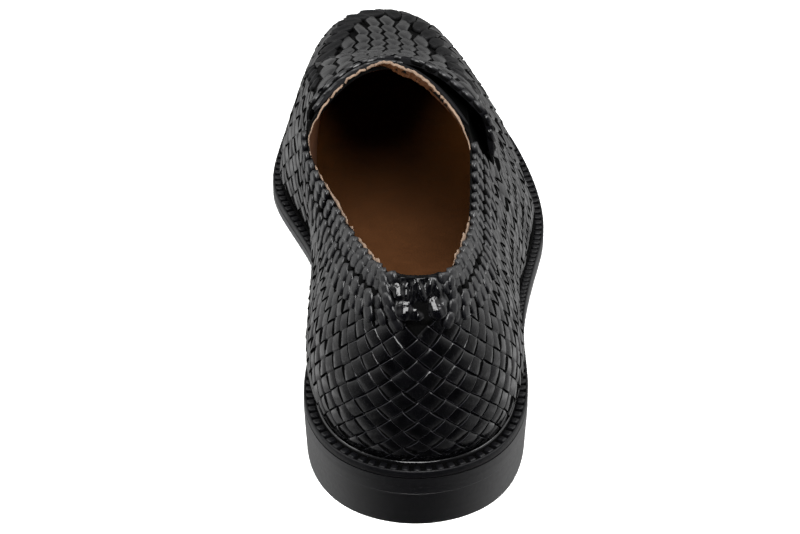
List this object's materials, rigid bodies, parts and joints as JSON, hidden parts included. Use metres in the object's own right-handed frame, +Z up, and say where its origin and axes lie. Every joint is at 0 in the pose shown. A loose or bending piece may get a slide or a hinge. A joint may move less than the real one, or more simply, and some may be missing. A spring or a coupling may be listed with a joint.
{
  "type": "woven loafer",
  "caption": "Black woven leather slip-on shoe for the right foot: hollow upper open at the collar, saddle strap, ribbed storm welt, arched sole and stacked heel.",
  "frame": {"origin": "on the floor under the middle of the footprint's box", "axes": "+X to the outer side of the right foot, +Y to the toe, +Z up"},
  "size_m": [0.103, 0.2994, 0.0959],
  "materials": {
    "woven_leather": "polished black calf strips in a plain diagonal weave",
    "insole_leather": "smooth brown lining leather",
    "welt_leather": "dyed black welt with pressed ribs",
    "sole_edge": "black waxed sole edge",
    "heel_rubber": "satin black rubber"
  },
  "bodies": {
    "root": {"upper": "woven_leather", "strap": "woven_leather", "insole": "insole_leather", "welt": "welt_leather", "outsole": "sole_edge", "heel_lift": "sole_edge", "heel_block": "heel_rubber"}
  },
  "joints": []
}
